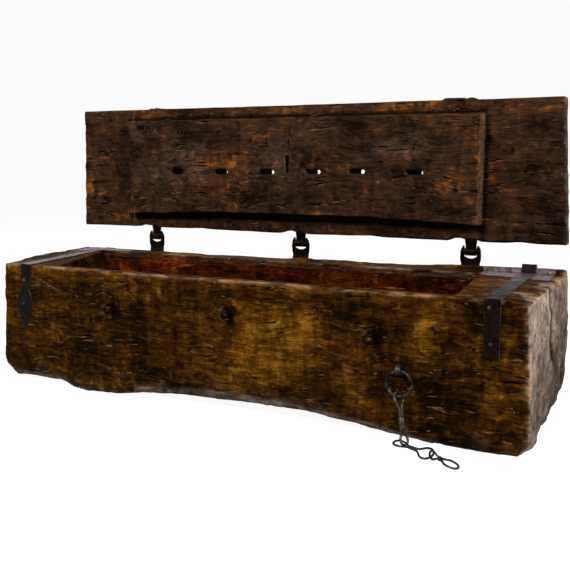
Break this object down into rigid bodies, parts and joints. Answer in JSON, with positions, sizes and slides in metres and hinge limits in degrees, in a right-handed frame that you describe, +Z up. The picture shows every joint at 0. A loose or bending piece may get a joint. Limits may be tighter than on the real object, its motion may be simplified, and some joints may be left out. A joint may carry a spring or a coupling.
{
  "type": "coffer chest",
  "caption": "Long dugout oak coffer with a slotted plank lid on forged strap hinges, end straps, lock staples, and a ring with hanging links.",
  "frame": {"origin": "middle of the chest's footprint on the floor, under the trunk", "axes": "+X along the chest to the right, +Y from the front to the hinges, +Z up"},
  "size_m": [1.8705, 0.6698, 0.9358],
  "materials": {
    "trunk_oak": "hewn, dark waxed",
    "lid_oak": "hewn, dark waxed",
    "strap_iron": "forged, pitted",
    "nail_iron": "forged, dull",
    "link_iron": "forged, worn"
  },
  "bodies": {
    "chest": {"trunk": "trunk_oak", "eye_plate_left": "strap_iron", "eye_plate_left_nails": "nail_iron", "lock_staple_left": "strap_iron", "eye_plate_middle": "strap_iron", "eye_plate_middle_nails": "nail_iron", "lock_staple_middle": "strap_iron", "eye_plate_right": "strap_iron", "eye_plate_right_nails": "nail_iron", "lock_staple_right": "strap_iron", "end_strap_left": "strap_iron", "end_strap_left_nails": "nail_iron", "rear_band_left": "strap_iron", "rear_band_left_nails": "nail_iron", "end_strap_right": "strap_iron", "end_strap_right_nails": "nail_iron", "rear_band_right": "strap_iron", "rear_band_right_nails": "nail_iron", "ring_staple": "strap_iron"},
    "lid": {"lid_board": "lid_oak", "clinched_nails": "nail_iron", "lid_strap_left": "strap_iron", "lid_strap_left_nails": "nail_iron", "lid_strap_middle": "strap_iron", "lid_strap_middle_nails": "nail_iron", "lid_strap_right": "strap_iron", "lid_strap_right_nails": "nail_iron"},
    "ring": {"pull_ring": "link_iron"},
    "hasp": {"hasp_link": "link_iron"},
    "middle_link": {"middle_link": "link_iron"},
    "end_link": {"end_link": "link_iron"}
  },
  "joints": [
    {"name": "lid_hinge", "type": "hinge", "parent": "chest", "child": "lid", "pos_m": [0, 0.238, 0.464], "axis": [1, 0, 0], "range_deg": [0, 94]},
    {"name": "ring_swing", "type": "hinge", "parent": "chest", "child": "ring", "pos_m": [0.56106, -0.244, 0.1962], "axis": [-1, 0, 0], "range_deg": [0, 80]},
    {"name": "hasp_swing", "type": "hinge", "parent": "ring", "child": "hasp", "pos_m": [0.56106, -0.244, 0.1232], "axis": [-1, 0, 0], "range_deg": [0, 60]},
    {"name": "middle_link_turn", "type": "hinge", "parent": "hasp", "child": "middle_link", "pos_m": [0.5943, -0.28993, 0.01333], "axis": [0, 0, 1], "range_deg": [-8, 12]},
    {"name": "end_link_turn", "type": "hinge", "parent": "middle_link", "child": "end_link", "pos_m": [0.69194, -0.35103, 0.01424], "axis": [0, 0, 1], "range_deg": [-12, 4]}
  ]
}
